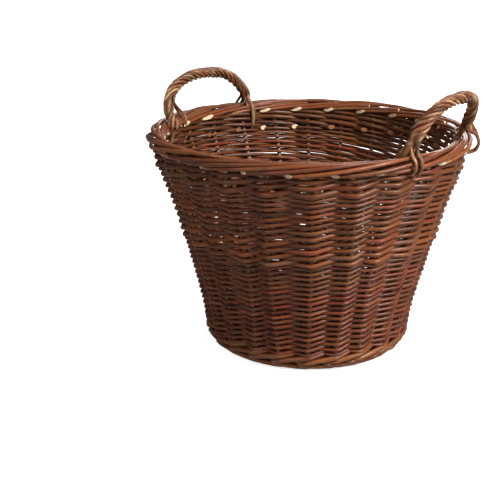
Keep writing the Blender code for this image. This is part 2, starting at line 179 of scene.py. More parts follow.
def smooth_line(points, values, step):
    """Resamples a line of points, and values along it, as a smooth curve with even steps."""
    points = np.asarray(points, float)
    gaps = np.maximum(np.linalg.norm(np.diff(points, axis=0), axis=1), 1e-7)
    slopes = np.diff(points, axis=0) / gaps[:, None]
    tangents = np.empty_like(points)
    tangents[0] = slopes[0]
    tangents[-1] = slopes[-1]
    before = gaps[:-1, None]
    after = gaps[1:, None]
    tangents[1:-1] = (slopes[:-1] * after + slopes[1:] * before) / (before + after)
    lengths = np.concatenate([[0.0], np.cumsum(gaps)])
    count = max(int(math.ceil(lengths[-1] / step)), 2) + 1
    stations = np.linspace(0.0, lengths[-1], count)
    index = np.clip(np.searchsorted(lengths, stations, side="right") - 1, 0, len(gaps) - 1)
    gap = gaps[index][:, None]
    share = (stations - lengths[index])[:, None] / gap
    squared = share * share
    cubed = squared * share
    made = points[index] * (2.0 * cubed - 3.0 * squared + 1.0)
    made = made + tangents[index] * gap * (cubed - 2.0 * squared + share)
    made = made + points[index + 1] * (3.0 * squared - 2.0 * cubed)
    made = made + tangents[index + 1] * gap * (cubed - squared)
    return made, np.interp(stations, lengths, values)


# Tubes


def carried_axes(points, guide):
    """Two axes square to a line at each point, carried along it without twisting."""
    headings = np.gradient(points, axis=0)
    headings /= np.linalg.norm(headings, axis=1)[:, None]
    across = np.empty_like(points)
    guide = np.asarray(guide, float)
    for index, heading in enumerate(headings):
        guide = guide - heading * guide.dot(heading)
        guide = guide / np.linalg.norm(guide)
        across[index] = guide
    return headings, across, np.cross(headings, across)


def knot_strength(lengths, generator, spacing):
    """Strength from 0 to 1 of the bud scars along a rod."""
    total = lengths[-1]
    count = max(int(total / spacing), 1)
    places = (np.arange(count) + generator.uniform(0.2, 0.8, count)) * total / count
    apart = np.abs(lengths[:, None] - places[None, :])
    return np.exp(-((apart / 0.0022) ** 2)).max(axis=1)


def tube(name, points, diameters, tint, guide=(0.0, 0.0, 1.0), start_cut=0.0, end_cut=0.0,
         cut_out=None, knots=0.05, seed=0, sides=ROD_SIDES, flat_side=1.0, half=False):
    """A rod along points: bark round it, pith on its two cut ends."""
    generator = dice(5, seed)
    headings, across, aside = carried_axes(points, guide)
    lengths = np.concatenate([[0.0], np.cumsum(np.linalg.norm(np.diff(points, axis=0), axis=1))])
    knot = knot_strength(lengths, generator, 0.075)
    wave = 1.0 + 0.03 * np.sin(lengths * 160.0 + seed) + 0.02 * np.sin(lengths * 410.0 + 2 * seed)
    radii = 0.5 * diameters * wave * (1.0 + knots * knot)
    if half:
        turns = np.concatenate([np.linspace(0.0, math.pi, sides - 1), [1.5 * math.pi]])
        reach = np.ones(sides)
        reach[-1] = 0.0
    else:
        turns = 2.0 * math.pi * np.arange(sides) / sides
        reach = np.ones(sides)
    ring = (
        across[:, None, :] * (np.cos(turns) * reach)[None, :, None]
        + aside[:, None, :] * (np.sin(turns) * reach)[None, :, None] * flat_side
    )
    rings = points[:, None, :] + ring * radii[:, None, None]
    for end, cut in ((0, start_cut), (-1, end_cut)):
        if cut:
            slant(rings, points, headings, lengths, radii, end, cut, cut_out)
    return skin(name, rings, points, lengths, turns, knot, tint, seed)


def slant(rings, points, headings, lengths, radii, end, cut, cut_out):
    """Slants a tube's end so that its cut face looks towards cut_out."""
    facing = np.asarray(cut_out, float)
    way = headings[end] * (-1.0 if end == 0 else 1.0)
    facing = facing - way * facing.dot(way)
    facing = facing / np.linalg.norm(facing)
    run = 2.6 * cut * radii[end]
    from_end = lengths if end == 0 else lengths[-1] - lengths
    share = np.clip(1.0 - from_end / run, 0.0, 1.0)
    height = (rings - points[:, None, :]) @ facing
    back = cut * (height + radii[:, None]) * share[:, None]
    rings -= way[None, None, :] * back[:, :, None]


def skin(name, rings, points, lengths, turns, knot, tint, seed):
    """The mesh over a tube's rings, with what its bark needs kept at each vertex."""
    count, sides = rings.shape[:2]
    start = rings[0].mean(axis=0)
    finish = rings[-1].mean(axis=0)
    vertices = np.concatenate([rings.reshape(-1, 3), [start, finish]])
    row = np.arange(count - 1)[:, None] * sides
    side = np.arange(sides)[None, :]
    after = (side + 1) % sides
    quads = np.stack([row + side, row + after, row + sides + after, row + sides + side], axis=-1)
    quads = quads.reshape(-1, 4)
    side = side[0]
    after = after[0]
    first_centre = count * sides
    last = (count - 1) * sides
    caps = np.concatenate(
        [
            np.stack([np.full(sides, first_centre), after, side], axis=-1),
            np.stack([np.full(sides, first_centre + 1), last + side, last + after], axis=-1),
        ]
    )
    mesh = bpy.data.meshes.new(name)
    mesh.vertices.add(len(vertices))
    mesh.vertices.foreach_set("co", vertices.astype(np.float32).ravel())
    corners = np.concatenate([quads.ravel(), caps.ravel()])
    mesh.loops.add(len(corners))
    mesh.loops.foreach_set("vertex_index", corners.astype(np.int32))
    sizes = np.concatenate([np.full(len(quads), 4), np.full(len(caps), 3)])
    starts = np.concatenate([[0], np.cumsum(sizes)[:-1]])
    mesh.polygons.add(len(sizes))
    mesh.polygons.foreach_set("loop_start", starts.astype(np.int32))
    mesh.polygons.foreach_set("loop_total", sizes.astype(np.int32))
    slots = np.concatenate([np.zeros(len(quads), np.int32), np.ones(len(caps), np.int32)])
    mesh.polygons.foreach_set("material_index", slots)
    mesh.update(calc_edges=True)
    mesh.validate()
    mesh.shade_smooth()
    mesh.set_sharp_from_angle(angle=math.radians(50.0))
    keep_place(mesh, count, lengths, turns, seed)
    keep_tint(mesh, count, sides, lengths, knot, tint)
    made = bpy.data.objects.new(name, mesh)
    bpy.context.scene.collection.objects.link(made)
    return made


PLACE_RADIUS = 0.003


def keep_place(mesh, count, lengths, turns, seed):
    """Keeps each vertex's place on its rod as if the rod lay straight."""
    sides = len(turns)
    place = np.empty((count, sides, 3))
    place[:, :, 0] = PLACE_RADIUS * np.cos(turns)[None, :]
    place[:, :, 1] = PLACE_RADIUS * np.sin(turns)[None, :]
    place[:, :, 2] = lengths[:, None] + 1.7 * seed
    ends = np.array([[0.0, 0.0, 1.7 * seed], [0.0, 0.0, 1.7 * seed + lengths[-1]]])
    kept = mesh.attributes.new("place", "FLOAT_VECTOR", "POINT")
    whole = np.concatenate([place.reshape(-1, 3), ends])
    kept.data.foreach_set("vector", whole.astype(np.float32).ravel())


def keep_tint(mesh, count, sides, lengths, knot, tint):
    """Keeps a rod's redness, lightness and greyness, and its bud scars, at each vertex."""
    tint = np.asarray(tint, float)
    if tint.ndim == 1:
        tint = np.repeat(tint[None, :], count, axis=0)
    colour = np.empty((count, sides, 4))
    colour[:, :, :3] = tint[:, None, :]
    colour[:, :, 3] = knot[:, None]
    ends = np.stack([np.append(tint[0], 0.0), np.append(tint[-1], 0.0)])
    kept = mesh.attributes.new("tint", "FLOAT_COLOR", "POINT")
    whole = np.concatenate([colour.reshape(-1, 4), ends])
    kept.data.foreach_set("color", whole.astype(np.float32).ravel())


def dress(piece, slot, *nodes, fresh=True):
    """Gives a rod its bark and its cut ends, and hides the solids it stands for."""
    piece.data.materials.append(BARKS[slot])
    piece.data.materials.append(PITH if fresh else WORN_END)
    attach(piece, "root")
    if nodes:
        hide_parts(*nodes)
    return piece


# Bark


def add_node(tree, kind, **inputs):
    """A shader node with named inputs set or linked."""
    node = tree.nodes.new(kind)
    for name, value in inputs.items():
        socket = node.inputs[name.replace("_", " ")]
        if isinstance(value, bpy.types.NodeSocket):
            tree.links.new(value, socket)
        else:
            socket.default_value = value
    return node


def maths(tree, operation, first, second=0.0, clamp=False):
    """One step of arithmetic in a shader."""
    node = tree.nodes.new("ShaderNodeMath")
    node.operation = operation
    node.use_clamp = clamp
    for socket, value in zip(node.inputs, (first, second)):
        if isinstance(value, bpy.types.NodeSocket):
            tree.links.new(value, socket)
        else:
            socket.default_value = value
    return node.outputs[0]


def blend_colour(tree, share, first, second, kind="MIX"):
    """Two colours mixed by a share."""
    node = tree.nodes.new("ShaderNodeMix")
    node.data_type = "RGBA"
    node.blend_type = kind
    node.clamp_factor = True
    for name, value in (("Factor", share), ("A", first), ("B", second)):
        sockets = [s for s in node.inputs if s.name == name and s.enabled]
        socket = sockets[0]
        if isinstance(value, bpy.types.NodeSocket):
            tree.links.new(value, socket)
        elif name == "Factor":
            socket.default_value = value
        else:
            socket.default_value = (*value, 1.0)
    return [s for s in node.outputs if s.enabled][0]


def stretch(tree, place, around, along):
    """The place on a rod, scaled round it and along it."""
    node = tree.nodes.new("ShaderNodeVectorMath")
    node.operation = "MULTIPLY"
    tree.links.new(place, node.inputs[0])
    node.inputs[1].default_value = (around, around, along)
    return node.outputs[0]


def remap(tree, value, low, high, to_low=0.0, to_high=1.0):
    """A value's range moved to another, held at both ends."""
    node = tree.nodes.new("ShaderNodeMapRange")
    node.clamp = True
    for name, number in (("From Min", low), ("From Max", high), ("To Min", to_low), ("To Max", to_high)):
        node.inputs[name].default_value = number
    tree.links.new(value, node.inputs["Value"])
    return node.outputs[0]


def noise(tree, vector, detail=3.0, rough=0.5, scale=1.0):
    node = add_node(tree, "ShaderNodeTexNoise", Vector=vector, Scale=scale, Detail=detail, Roughness=rough)
    return node.outputs[0]


def make_bark(name, brown, red, dark, grey, roughness, peel=0.0):
    """Willow bark: brown to red along and between rods, dark streaks, pale pores, bud scars."""
    material = bpy.data.materials.new(name)
    material.use_nodes = True
    tree = material.node_tree
    shader = tree.nodes["Principled BSDF"]
    place_node = tree.nodes.new("ShaderNodeAttribute")
    place_node.attribute_name = "place"
    place = place_node.outputs["Vector"]
    tint_node = tree.nodes.new("ShaderNodeAttribute")
    tint_node.attribute_name = "tint"
    parts = add_node(tree, "ShaderNodeSeparateColor", Color=tint_node.outputs["Color"])
    redness, lightness, greyness = parts.outputs[0], parts.outputs[1], parts.outputs[2]
    knot = tint_node.outputs["Alpha"]

    broad = noise(tree, stretch(tree, place, 160.0, 22.0), 3.0, 0.55)
    streak = noise(tree, stretch(tree, place, 900.0, 45.0), 4.0, 0.6)
    fine = noise(tree, stretch(tree, place, 2400.0, 700.0), 3.0, 0.6)
    patch = noise(tree, stretch(tree, place, 240.0, 70.0), 4.0, 0.6)

    share = maths(tree, "ADD", redness, remap(tree, broad, 0.3, 0.7, -0.35, 0.35), clamp=True)
    colour = blend_colour(tree, share, brown, red)
    dusty = maths(tree, "MULTIPLY", greyness, remap(tree, patch, 0.35, 0.6), clamp=True)
    colour = blend_colour(tree, dusty, colour, grey)
    shade = remap(tree, streak, 0.38, 0.72, 0.0, 0.55)
    colour = blend_colour(tree, shade, colour, dark)
    pores = remap(tree, fine, 0.64, 0.72, 0.0, 0.45)
    colour = blend_colour(tree, pores, colour, grey)
    colour = blend_colour(tree, maths(tree, "MULTIPLY", knot, 0.4), colour, dark)
    if peel:
        worn = maths(tree, "MULTIPLY", remap(tree, patch, 0.55, 0.62), peel)
        colour = blend_colour(tree, worn, colour, (0.56, 0.40, 0.21))
    level = maths(tree, "MULTIPLY", lightness, remap(tree, broad, 0.25, 0.75, 0.85, 1.15))
    grey_level = add_node(tree, "ShaderNodeCombineColor")
    for socket in grey_level.inputs:
        tree.links.new(level, socket)
    colour = blend_colour(tree, 1.0, colour, grey_level.outputs[0], "MULTIPLY")
    tree.links.new(colour, shader.inputs["Base Color"])

    shader.inputs["Specular IOR Level"].default_value = 0.38
    rough = remap(tree, streak, 0.3, 0.7, roughness - 0.06, roughness + 0.12)
    tree.links.new(rough, shader.inputs["Roughness"])
    relief = maths(tree, "ADD", maths(tree, "MULTIPLY", streak, 0.7), maths(tree, "MULTIPLY", fine, 0.3))
    relief = maths(tree, "ADD", relief, maths(tree, "MULTIPLY", knot, 0.5))
    bump = add_node(tree, "ShaderNodeBump", Strength=0.35, Distance=0.0004, Height=relief)
    tree.links.new(bump.outputs[0], shader.inputs["Normal"])
    return material


def make_pith(name, pale, deep):
    """The bare wood of a cut end, with a little grain."""
    material = bpy.data.materials.new(name)
    material.use_nodes = True
    tree = material.node_tree
    shader = tree.nodes["Principled BSDF"]
    place_node = tree.nodes.new("ShaderNodeAttribute")
    place_node.attribute_name = "place"
    grain = noise(tree, stretch(tree, place_node.outputs["Vector"], 1500.0, 900.0), 3.0, 0.6)
    colour = blend_colour(tree, remap(tree, grain, 0.3, 0.7), pale, deep)
    tree.links.new(colour, shader.inputs["Base Color"])
    tree.links.new(remap(tree, grain, 0.3, 0.7, 0.55, 0.75), shader.inputs["Roughness"])
    bump = add_node(tree, "ShaderNodeBump", Strength=0.3, Distance=0.0003, Height=grain)
    tree.links.new(bump.outputs[0], shader.inputs["Normal"])
    return material


BROWN = (0.242, 0.071, 0.0165)
RED = (0.188, 0.031, 0.0125)
DARK = (0.022, 0.007, 0.004)
GREY = (0.150, 0.088, 0.048)

BARKS = {
    "base_bark": make_bark("base_bark", BROWN, RED, DARK, GREY, 0.50),
    "stake_bark": make_bark("stake_bark", (0.335, 0.106, 0.030), (0.262, 0.053, 0.021), DARK, GREY, 0.34),
    "siding_bark": make_bark("siding_bark", BROWN, RED, DARK, GREY, 0.36),
    "wale_bark": make_bark("wale_bark", (0.295, 0.097, 0.025), (0.190, 0.041, 0.016), DARK, GREY, 0.36),
    "handle_bark": make_bark("handle_bark", (0.272, 0.101, 0.036), (0.212, 0.055, 0.023), DARK, (0.22, 0.138, 0.075), 0.42, peel=0.65),
}
PITH = make_pith("cut_wood", (0.95, 0.80, 0.54), (0.74, 0.54, 0.31))
WORN_END = make_pith("worn_end", (0.42, 0.18, 0.07), (0.20, 0.075, 0.03))


# Weaving

CHORD_SHARE = 0.7


def rise_share(share):
    """A rod's climb within a stake space, a little quicker just past the stake."""
    return 1.0 - (1.0 - share) ** 1.25


def cross_share(share):
    """A rod's way from one face of the wall to the other, from 1 to -1."""
    share = share**1.04
    return 1.0 - 2.0 * (0.8 * share + 0.2 * smooth_share(share))


def weave_path(first_stake, sides, levels, diameters, begin, end, generator, unrest=1.0, even=False, lead=0.0):
    """A rod's line past stakes, on the outer side for 1 and on the inner side for -1."""
    sides = np.asarray(sides, float)
    levels = np.asarray(levels, float) + generator.normal(0.0, 0.00032 * unrest, len(sides))
    diameters = np.asarray(diameters, float)
    reach = 0.5 * (STAKE_DIAMETER + diameters) + generator.normal(0.0002, 0.0002 * unrest, len(sides))
    reach[0] += lead
    offsets = sides * reach
    count = int(round((end - begin) * RODS_PER_SPACE)) + 1
    places = np.linspace(begin, end, count)
    index = np.clip(np.floor(places).astype(int), 0, len(sides) - 2)
    share = np.clip(places - index, 0.0, 1.0)
    climb = share if even else rise_share(share)
    level = levels[index] + (levels[index + 1] - levels[index]) * climb
    middle = 0.5 * (offsets[index] + offsets[index + 1])
    half = 0.5 * (offsets[index] - offsets[index + 1])
    offset = middle + half * cross_share(share)
    diameter = diameters[index] + (diameters[index + 1] - diameters[index]) * share
    angle = stake_angles(first_stake + places, level)
    level = level + row_drift(angle, level)
    chord = math.cos(0.5 * STAKE_STEP) / np.cos((share - 0.5) * STAKE_STEP)
    chord = 1.0 - CHORD_SHARE * (1.0 - chord)
    return wall_points(angle, level, offset, chord), diameter


def tier_levels(low, high, count, taper):
    """Levels of a rod's crossings, closer together as the rods get thinner."""
    share = np.arange(count) / (count - 1)
    grown = (share - 0.5 * (1.0 - taper) * share * share) / (1.0 - 0.5 * (1.0 - taper))
    return low + (high - low) * grown


def rod_tint(generator, redness, lightness, spread=0.15):
    """A rod's own redness and lightness, and how grey it is."""
    red = np.clip(generator.normal(redness, 0.33), 0.0, 1.0)
    light = np.clip(generator.normal(lightness, spread), 0.5, 1.5)
    grey = np.clip(generator.normal(0.05, 0.26), 0.0, 0.8)
    return np.array([red, light, grey])


def randed_rod(
    name, kind, number, low, high, count, taper, butt, tip, tint, greying, slot, node, warm=0.0
):
    """A siding rod: in front of a stake, behind the next, one level up at each."""
    generator = dice(kind, number)
    levels = tier_levels(low, high, count, taper)
    step = levels[1] - levels[0]
    levels = np.concatenate([[levels[0] - 0.4 * step], levels, [levels[-1] + 0.5 * step]])
    sides = np.where(np.arange(count + 2) % 2 == 1, 1.0, -1.0)
    share = np.linspace(0.0, 1.0, count + 2)
    size = 1.0 + np.clip(generator.normal(0.0, 0.04), -0.06, 0.08)
    diameters = (butt + (tip - butt) * share) * size
    begin = 0.10 + generator.uniform(0.0, 0.25)
    end = count + generator.uniform(0.5, 0.9)
    points, diameter = weave_path(
        number - 1, sides, levels, diameters, begin, end, generator, lead=0.0045
    )
    along = np.linspace(0.0, 1.0, len(points))
    colour = np.repeat(tint[None, :], len(points), axis=0)
    colour[:, 2] = np.clip(colour[:, 2] + greying * np.clip((along - 0.7) / 0.3, 0.0, 1.0), 0.0, 1.0)
    near_butt = np.clip(1.0 - along / 0.35, 0.0, 1.0)
    colour[:, 0] *= 1.0 - warm * near_butt
    colour[:, 1] *= 1.0 + 0.25 * warm * near_butt
    inward = -radial(stake_angles(number - 1 + begin, 0.1))
    piece = tube(
        name, points, diameter, colour, start_cut=1.2, cut_out=inward, seed=kind * 50 + number
    )
    return dress(piece, slot, node, fresh=generator.uniform() < 0.3)


def make_siding():
    """Both tiers of siding, one rod of each starting at every stake."""
    for number in range(STAKE_COUNT):
        node = f"siding_weaver_{number + 1:02d}"
        tint = rod_tint(dice(11, number), 0.68, 0.93)
        randed_rod(
            f"siding_lower_{number + 1:02d}", 2, number, *LOWER_TIER, LOWER_LEVELS, 0.86,
            0.0050, 0.0041, tint, 0.5, "siding_bark", node,
        )
        tint = rod_tint(dice(12, number), 0.45, 0.90)
        randed_rod(
            f"siding_upper_{number + 1:02d}", 3, number, *UPPER_TIER, UPPER_LEVELS, 0.62,
            0.0064, 0.0039, tint, 0.4, "siding_bark", node, warm=0.8,
        )


def make_top_tier():
    """Short thick rods under the border."""
    for number in range(STAKE_COUNT):
        # Their low lightness (0.68) is partly their own darker bark and partly painted shade of the border
        # over them.
        tint = rod_tint(dice(13, number), 0.40, 0.68)
        randed_rod(
            f"wale_top_{number + 1:02d}", 4, number, *TOP_TIER, TOP_LEVELS, 0.55,
            0.0072, 0.0054, tint, 0.1, "wale_bark", "top_wale",
        )


UPSET_LEVELS = (0.0134, 0.0114, 0.0053, 0.0064, 0.0156, 0.0222, 0.0265, 0.0285)
UPSET_SIDES = (1.0, 1.0, 1.0, -1.0, 1.0, 1.0, -1.0, 1.0)
UPSET_DIAMETERS = (0.0076, 0.0076, 0.0074, 0.0070, 0.0068, 0.0064, 0.0054, 0.0046)


def make_upset():
    """Thick rods round the bottom edge, each in front of two stakes as it climbs."""
    for number in range(STAKE_COUNT):
        generator = dice(6, number)
        begin = 0.50 + generator.uniform(0.0, 0.18)
        points, diameter = weave_path(
            number - 1, UPSET_SIDES, UPSET_LEVELS, UPSET_DIAMETERS, begin, 6.5, generator, 0.8, True
        )
        tint = rod_tint(dice(14, number), 0.4, 0.96)
        outward = radial(stake_angles(number - 1 + begin, 0.0))
        piece = tube(
            f"wale_bottom_{number + 1:02d}", points, diameter, tint, start_cut=0.8,
            cut_out=outward, seed=700 + number,
        )
        dress(piece, "wale_bark", "bottom_wale", fresh=False)


# Stakes and border


BASE_SPOKES = 12
SPOKE_STEP = 2.0 * math.pi / BASE_SPOKES
FIRST_SPOKE_ANGLE = STAKE_STEP
STICK_DIAMETER = 0.0080
STAKE_INSERT = 0.022


def base_height(radius):
    """Height of the base sticks' centre line: the base is crowned."""
    share = radius / BASE_EDGE_RADIUS
    return FOOT_HEIGHT + BASE_CROWN * (1.0 - share * share)


def border_point(angle, spaces, circle, phase):
    """A point on a border rod, so many stake spaces past its own stake."""
    turn = -0.5 * math.pi - BORDER_STEP_ANGLE * spaces + phase
    place = angle - STAKE_STEP * spaces
    bulge = float(side_share(place))
    circle = circle * (1.0 + SIDE_LOOSENESS * bulge)
    radius = BORDER_RADIUS + SIDE_BULGE * bulge + circle * math.cos(turn)
    height = BORDER_HEIGHT - SIDE_DIP * bulge + circle * math.sin(turn)
    return radial(place) * radius + upward(height)


def stake_line(number, generator):
    """Points and diameters from a stake's butt to its cut end in the border."""
    angle = STAKE_STEP * (number + 0.5)
    spoke = FIRST_SPOKE_ANGLE + SPOKE_STEP * round((angle - FIRST_SPOKE_ANGLE) / SPOKE_STEP)
    spoke_side = 1.0 if math.sin(angle - spoke) > 0.0 else -1.0
    points = []
    sizes = []
    for radius, diameter in ((BASE_EDGE_RADIUS - STAKE_INSERT, 0.0024), (BASE_EDGE_RADIUS, 0.0042)):
        beside = spoke_side * (0.5 * (STICK_DIAMETER + diameter) + 0.0003)
        flat = radial(spoke) * radius + radial(spoke + 0.5 * math.pi) * beside
        points.append(flat + upward(base_height(radius)))
        sizes.append(diameter)
    levels = np.concatenate([[0.0, 0.25, 0.5, 0.75, 1.0] * np.array(BEND_LENGTH), np.linspace(0.03, WALL_TOP_LEVEL - 0.004, 14)])
    angles = stake_angles(np.full(len(levels), float(number)), levels)
    points.extend(wall_points(angles, levels, np.zeros(len(levels))))
    sizes.extend(np.linspace(STAKE_DIAMETER, 0.0066, len(levels)))
    points.append(border_point(angle - 0.25 * STAKE_STEP * 0.4, 0.1, BORDER_CIRCLE, 0.0))
    sizes.append(0.0063)
    phase = generator.normal(0.0, 0.16)
    swell = generator.normal(0.0, 0.0005)
    tail = BORDER_TAIL_SPACES + generator.uniform(-0.12, 0.12)
    for spaces in np.arange(0.3, tail, 0.15):
        fade = min(spaces / 0.8, 1.0)
        circle = BORDER_CIRCLE + fade * (
                BORDER_ROLL_SPREAD + swell + 0.0004 * math.sin(3.1 * spaces + number)
        )
        points.append(border_point(angle, spaces, circle, phase * fade))
        shrink = np.clip((spaces - BORDER_TAIL_SPACES + 0.8) / 0.9, 0.0, 1.0)
        fuller = 1.0 + SIDE_LOOSENESS * float(side_share(angle - STAKE_STEP * spaces))
        sizes.append((0.0059 - 0.0008 * spaces / BORDER_TAIL_SPACES - 0.0004 * shrink) * fuller)
    return np.array(points), np.array(sizes), angle - STAKE_STEP * tail


def make_stakes():
    """The stakes, each with its own end rolled over into the border."""
    for number in range(STAKE_COUNT):
        generator = dice(7, number)
        points, sizes, end_angle = stake_line(number, generator)
        points, sizes = smooth_line(points, sizes, 0.0035)
        tint = rod_tint(dice(15, number), 0.50, 0.94, 0.18)
        colour = np.repeat(tint[None, :], len(points), axis=0)
        # The border's rods turn greyer towards the left (-X) side.
        left = np.clip(-points[:, 0] / BORDER_RADIUS, 0.0, 1.0) * (points[:, 2] > STAKE_TOP_HEIGHT)
        colour[:, 2] = np.clip(colour[:, 2] + 0.5 * left, 0.0, 0.9)
        # Painted highlight: inside the wall the stakes are tinted pale grey and over-bright, so they show as
        # light specks between the strokes.
        painted_highlight_in_wall = points[:, 2] < STAKE_TOP_HEIGHT
        colour[painted_highlight_in_wall] = np.array([0.05, 2.20, 1.40])
        outward = radial(end_angle) + upward(0.10)
        piece = tube(
            f"stake_and_border_rod_{number + 1:02d}", points, sizes, colour, guide=(1.0, 0.2, 0.1),
            end_cut=2.3, cut_out=outward, seed=800 + number,
        )
        dress(piece, "stake_bark", f"stake_{number + 1:02d}")


FILLER_SPACES = 2.4
FILLER_START_TURN = math.radians(-158.0)
FILLER_END_TURN = math.radians(-212.0)


def make_border_fillers():
    """Short rods laid along the border's inner side, their thick cut ends facing in."""
    for number in range(STAKE_COUNT):
        generator = dice(9, number)
        angle = STAKE_STEP * (number + 0.5 + generator.uniform(0.42, 0.58))
        size = 0.0062 + generator.normal(0.0, 0.0004)
        points = []
        for share in np.linspace(0.0, 1.0, 12):
            turn = FILLER_START_TURN + (FILLER_END_TURN - FILLER_START_TURN) * share
            reach = BORDER_REACH + 0.0026 - 0.0028 * share
            place = angle - STAKE_STEP * FILLER_SPACES * share
            points.append(border_round(place, turn, reach))
        points, sizes = smooth_line(points, np.linspace(size, 0.6 * size, 12), 0.004)
        inward = -radial(angle) + upward(0.30)
        piece = tube(
            f"border_filler_{number + 1:02d}", points, sizes,
            rod_tint(dice(20, number), 0.45, 1.0), start_cut=2.8, cut_out=inward,
            seed=850 + number,
        )
        dress(
            piece, "stake_bark", f"stake_{number + 1:02d}", fresh=generator.uniform() < 0.8
        )


# Base

STICKS_PER_WAY = 3
STICK_SPACING = 0.0086
STICK_FAN_START = 0.018
BASE_WEAVE_START = 0.034
BASE_WEAVE_STEP = 0.0039
BASE_WEAVE_DIAMETER = 0.0052
BASE_WEAVE_FULLNESS = 1.15
BINDING_DIAMETER = 0.0052
BINDING_RADII = (0.0195, 0.0325)
BINDING_TURNS = 2.5
ARM_COUNT = 4
CORNER_LEVELS = (-0.0045, 0.0205)
CORNER_TURNS = 4.7
CORNER_DIAMETER_ROD = 0.0056


def stick_line(way, place, spread):
    """Half of a base stick's line: parallel in the middle, then fanned out; spread parts a slit."""
    turn = FIRST_SPOKE_ANGLE + SPOKE_STEP * STICKS_PER_WAY * way
    forward = radial(turn)
    sideways = radial(turn + 0.5 * math.pi)
    fan = SPOKE_STEP * place
    runs = []
    for share in (0.0, 0.5, 1.0):
        radius = BASE_WEAVE_START + (BASE_EDGE_RADIUS - BASE_WEAVE_START) * share
        runs.append((radius * math.cos(fan), radius * math.sin(fan)))
    near = [(0.0, STICK_SPACING * place), (STICK_FAN_START, STICK_SPACING * place)]
    half = near + runs
    whole = [(-run, aside) for run, aside in reversed(half[1:])] + half
    points = []
    for run, aside in whole:
        flat = forward * run + sideways * aside
        lift = spread * math.exp(-((run / 0.020) ** 4))
        points.append(flat + upward(base_height(np.linalg.norm(flat)) + lift))
    return np.array(points)


def make_base():
    """Three slit sticks, three through them, and two rods paired round the sticks."""
    for place in (-1, 0, 1):
        for half, lift in ((1, 0.0032), (2, -0.0032)):
            points, _ = smooth_line(stick_line(0, place, lift), np.zeros(9), 0.004)
            guide = radial(FIRST_SPOKE_ANGLE + 0.5 * math.pi) * (-1.0 if half == 1 else 1.0)
            sizes = np.full(len(points), STICK_DIAMETER)
            piece = tube(
                f"base_stick_slit_{place + 2}_half_{half}", points, sizes,
                rod_tint(dice(16, place + 5, half), 0.3, 1.0), guide=guide, knots=0.02,
                seed=900 + 2 * place + half, half=True,
            )
            dress(piece, "base_bark", f"base_stick_slit_{place + 2}")
        points, _ = smooth_line(stick_line(1, place, 0.0), np.zeros(9), 0.004)
        sizes = np.full(len(points), STICK_DIAMETER)
        near = np.exp(-((np.linalg.norm(points[:, :2], axis=1) / 0.020) ** 4))
        sizes = sizes - 0.0022 * near
        piece = tube(
            f"base_stick_{place + 2}", points, sizes, rod_tint(dice(17, place + 5), 0.3, 1.0),
            guide=radial(FIRST_SPOKE_ANGLE), knots=0.02, seed=920 + place,
        )
        dress(piece, "base_bark", f"base_stick_through_{place + 2}")
    for number in range(2):
        make_base_weaver(number)
        make_binding(number)
    make_corner_rod()


def make_binding(number):
    """One of two rods bound round the crossed sticks, over three and under three."""
    steps = np.linspace(0.0, BINDING_TURNS * ARM_COUNT, int(BINDING_TURNS * ARM_COUNT * 14) + 1)
    share = steps / steps[-1]
    near, far = BINDING_RADII
    radius = near + (far - near) * share + 0.5 * number * (far - near) / BINDING_TURNS
    side = np.clip(2.2 * np.cos(math.pi * steps), -1.0, 1.0) * (1.0 if number == 0 else -1.0)
    offset = 0.5 * (STICK_DIAMETER + BINDING_DIAMETER) + 0.0002
    angle = FIRST_SPOKE_ANGLE + 0.5 * math.pi * steps
    heights = np.array([base_height(r) for r in radius]) + side * offset
    points = radial(angle) * radius[:, None] + upward(heights)
    sizes = np.full(len(points), BINDING_DIAMETER)
    piece = tube(
        f"base_binding_{number + 1}", points, sizes, rod_tint(dice(21, number), 0.5, 0.95),
        seed=945 + number,
    )
    dress(piece, "base_bark", f"base_weaver_{number + 1}")


def make_corner_rod():
    """A rod wound on inside the stakes' bends, which closes the corner of base and wall."""
    places = np.linspace(0.0, CORNER_TURNS * STAKE_COUNT, int(CORNER_TURNS * STAKE_COUNT * 8) + 1)
    share = places / places[-1]
    low, high = CORNER_LEVELS
    levels = low + (high - low) * share
    inner = 0.5 * (STAKE_DIAMETER + CORNER_DIAMETER_ROD)
    offsets = -inner + 0.0012 * (0.5 - 0.5 * np.cos(2.0 * math.pi * places))
    points = wall_points(stake_angles(places, levels), levels, offsets)
    sizes = np.full(len(points), CORNER_DIAMETER_ROD)
    tint = rod_tint(dice(22), 0.5, 0.9)
    piece = tube("wale_corner", points, sizes, tint, seed=948)
    dress(piece, "wale_bark", "bottom_wale", fresh=False)


def make_base_weaver(number):
    """One of two rods that spiral out together, each over one stick and under the next."""
    outermost = BASE_EDGE_RADIUS - 0.5 * BASE_WEAVE_DIAMETER
    start = BASE_WEAVE_START + BASE_WEAVE_STEP * number
    crossings = int(((outermost - start) / (2.0 * BASE_WEAVE_STEP) + 1.0) * BASE_SPOKES)
    steps = np.linspace(0.0, crossings, crossings * 8 + 1)
    radius = np.minimum(start + 2.0 * BASE_WEAVE_STEP * steps / BASE_SPOKES, outermost)
    side = np.cos(math.pi * steps) * (1.0 if number == 0 else -1.0)
    swing = 0.75 * side + 0.25 * np.sign(side) * np.abs(side) ** 0.3
    offset = 0.5 * (STICK_DIAMETER + BASE_WEAVE_DIAMETER) + 0.0002
    angle = FIRST_SPOKE_ANGLE + SPOKE_STEP * steps
    heights = np.array([base_height(r) for r in radius]) + swing * offset
    points = radial(angle) * radius[:, None] + upward(heights)
    sizes = np.full(len(points), BASE_WEAVE_FULLNESS * BASE_WEAVE_DIAMETER)
    piece = tube(
        f"base_weaver_{number + 1}", points, sizes, rod_tint(dice(18, number), 0.5, 1.0),
        seed=940 + number,
    )
    dress(piece, "base_bark", f"base_weaver_{number + 1}")


# Handles

HANDLE_STRANDS = 6
STRAND_DIAMETER = 0.0048
HANDLE_LAY = 0.060
FOOT_RADIUS = 0.2000
FOOT_TIP_LEVEL = 0.2740
FOOT_WALL_LEVEL = 0.2880
TUCK_DEPTH = 0.014


